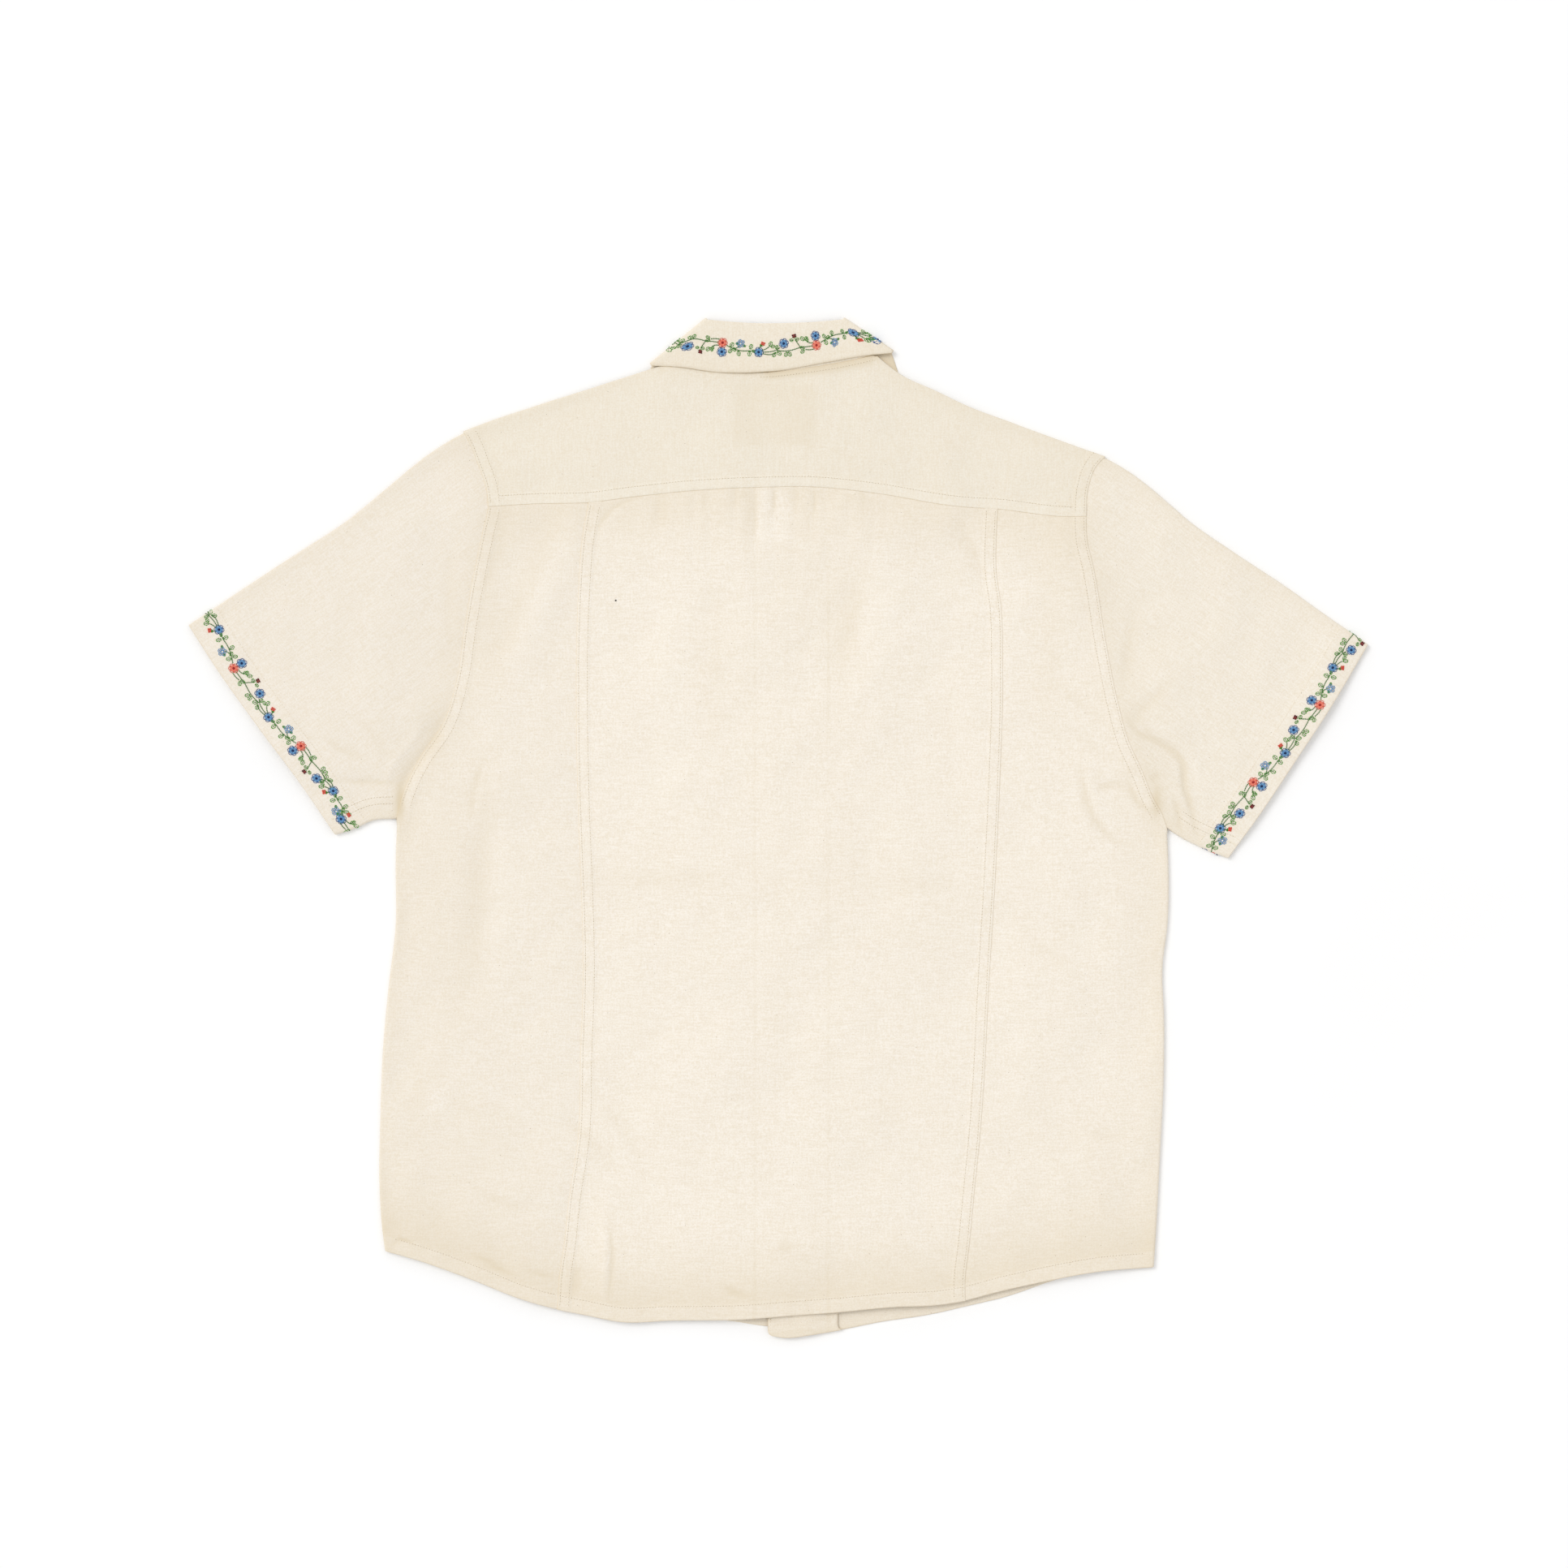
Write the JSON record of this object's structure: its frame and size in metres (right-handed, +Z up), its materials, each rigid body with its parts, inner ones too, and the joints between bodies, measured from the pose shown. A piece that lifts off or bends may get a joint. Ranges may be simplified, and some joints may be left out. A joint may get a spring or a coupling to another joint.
{
  "type": "camp shirt",
  "caption": "Short-sleeved camp shirt laid flat on its front, back up: yoke, gathered centre back, two princess seams, folded camp collar and curved hem",
  "frame": {"origin": "on the table, under the middle of the shirt's outline", "axes": "+X across the shirt to the wearer's right sleeve, +Y from the hem to the collar, +Z up from the table, out of the back"},
  "size_m": [0.9011, 0.7791, 0.0097],
  "materials": {
    "cloth": "plain-woven cotton and linen, undyed, matte",
    "button": "cream, softly polished"
  },
  "bodies": {
    "root": {"back_centre": "cloth", "back_side_left": "cloth", "back_side_right": "cloth", "yoke": "cloth", "collar": "cloth", "sleeve_left": "cloth", "sleeve_right": "cloth", "front_left": "cloth", "front_right": "cloth", "facing_right": "cloth", "lapel_left": "cloth", "lapel_right": "cloth", "button_1": "button", "button_2": "button", "button_3": "button", "button_4": "button", "button_5": "button", "button_6": "button", "button_7": "button"}
  },
  "joints": []
}
